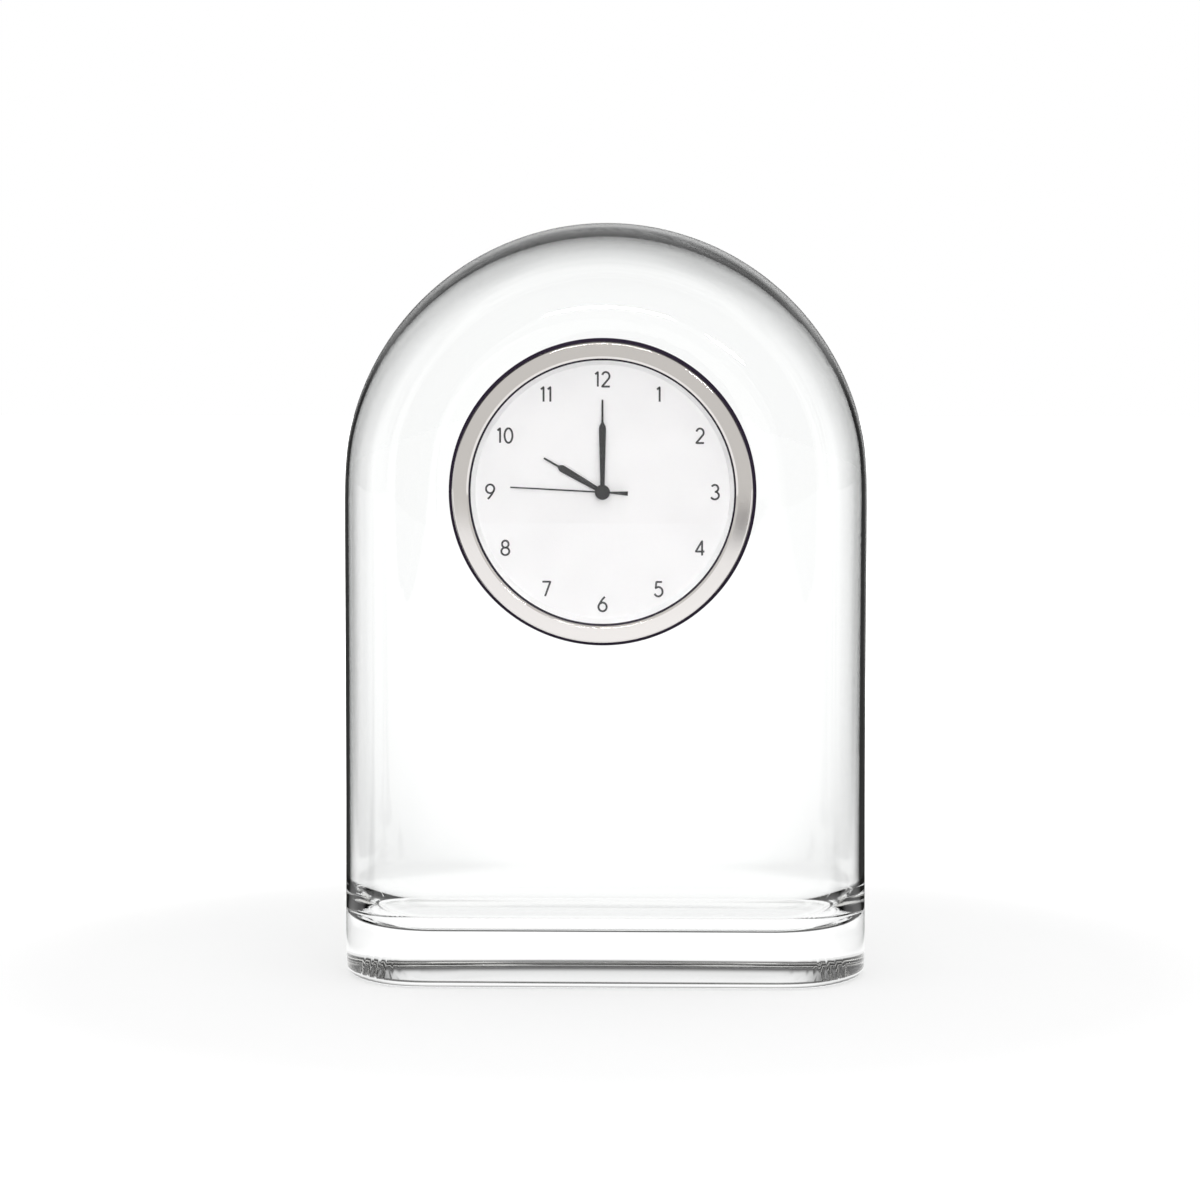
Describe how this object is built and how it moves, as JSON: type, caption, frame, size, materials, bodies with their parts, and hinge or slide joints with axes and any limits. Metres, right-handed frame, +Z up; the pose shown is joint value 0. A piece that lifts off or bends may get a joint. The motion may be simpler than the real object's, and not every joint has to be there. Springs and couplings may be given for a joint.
{
  "type": "beehive shelf clock",
  "caption": "Free-standing arched clear glass clock, hollow with a thick base, holding a round quartz insert with hands, wheel train, battery cover and setting knob.",
  "frame": {"origin": "middle of the flat base, straight below the dial's centre", "axes": "+Z up along the height, +X to the right as the dial is read, +Y from the dial to the back"},
  "size_m": [0.122, 0.0527, 0.1755],
  "materials": {
    "glass": "clear blown glass",
    "seal": "satin black",
    "bezel": "turned satin",
    "lens": "clear flat glass",
    "reflector": "white satin",
    "dial": "printed white, matt",
    "hands": "satin black",
    "case": "fine grained black",
    "plates": "natural white moulding",
    "wheels": "natural white acetal",
    "brass": "turned brass",
    "steel": "bright steel",
    "magnet": "sintered dark grey",
    "copper": "enamelled copper wire",
    "board": "green lacquer",
    "resin": "black resin",
    "can": "drawn can",
    "cell": "bright nickel"
  },
  "bodies": {
    "glass": {"glass_body": "glass"},
    "insert": {"seal_ring": "seal", "insert_case": "case", "bezel": "bezel", "lens": "lens", "reflector_ring": "reflector", "dial": "dial", "front_plate": "plates", "middle_plate": "plates", "back_plate": "plates", "movement_screws": "steel", "stator": "steel", "coil_core": "steel", "coil_bobbin": "plates", "coil_winding": "copper", "stator_screws": "steel", "circuit_board": "board", "chip_cover": "resin", "crystal_can": "can", "battery": "cell", "minus_contact": "steel", "plus_contact": "steel"},
    "hour": {"hour_hand": "hands", "hour_wheel": "wheels"},
    "minute": {"minute_hand": "hands", "cannon_pinion": "brass"},
    "second": {"second_hand": "hands", "seconds_wheel": "steel"},
    "motion": {"motion_wheel": "wheels"},
    "setting": {"setting_stem": "steel", "setting_knob": "case"},
    "centre": {"centre_wheel": "wheels"},
    "third": {"third_wheel": "wheels"},
    "step": {"step_wheel": "wheels"},
    "rotor": {"rotor_pinion": "steel", "rotor_magnet": "magnet"},
    "cover": {"battery_cover": "case"}
  },
  "joints": [
    {"name": "insert_pull", "type": "slide", "parent": "glass", "child": "insert", "axis": [0, -1, 0], "range_m": [0, 0.03]},
    {"name": "minute_turn", "type": "hinge", "parent": "insert", "child": "minute", "pos_m": [0, 0, 0.1145], "axis": [0, 1, 0], "continuous": true},
    {"name": "hour_turn", "type": "hinge", "parent": "insert", "child": "hour", "pos_m": [0, 0, 0.1145], "axis": [0, 1, 0], "continuous": true},
    {"name": "motion_turn", "type": "hinge", "parent": "insert", "child": "motion", "pos_m": [-0.00564, 0, 0.11245], "axis": [0, 1, 0], "continuous": true},
    {"name": "setting_turn", "type": "hinge", "parent": "insert", "child": "setting", "pos_m": [-0.01117, 0, 0.10858], "axis": [0, 1, 0], "continuous": true},
    {"name": "second_turn", "type": "hinge", "parent": "insert", "child": "second", "pos_m": [0, 0, 0.1145], "axis": [0, 1, 0], "continuous": true},
    {"name": "third_turn", "type": "hinge", "parent": "insert", "child": "third", "pos_m": [0.0036, 0, 0.12074], "axis": [0, 1, 0], "continuous": true},
    {"name": "centre_turn", "type": "hinge", "parent": "insert", "child": "centre", "pos_m": [0, 0, 0.1145], "axis": [0, 1, 0], "continuous": true},
    {"name": "step_turn", "type": "hinge", "parent": "insert", "child": "step", "pos_m": [0.00634, 0, 0.11084], "axis": [0, 1, 0], "continuous": true},
    {"name": "rotor_turn", "type": "hinge", "parent": "insert", "child": "rotor", "pos_m": [0.00904, 0, 0.10616], "axis": [0, 1, 0], "continuous": true},
    {"name": "cover_pull", "type": "slide", "parent": "insert", "child": "cover", "axis": [0, 1, 0], "range_m": [0, 0.012]}
  ],
  "couplings": [
    {"joint": "hour_turn", "follows": "minute_turn", "ratio": 0.083333},
    {"joint": "motion_turn", "follows": "minute_turn", "ratio": -0.33333},
    {"joint": "setting_turn", "follows": "minute_turn", "ratio": 0.66667},
    {"joint": "third_turn", "follows": "second_turn", "ratio": -0.13333},
    {"joint": "centre_turn", "follows": "second_turn", "ratio": 0.016667},
    {"joint": "step_turn", "follows": "second_turn", "ratio": -6},
    {"joint": "rotor_turn", "follows": "second_turn", "ratio": 30}
  ]
}
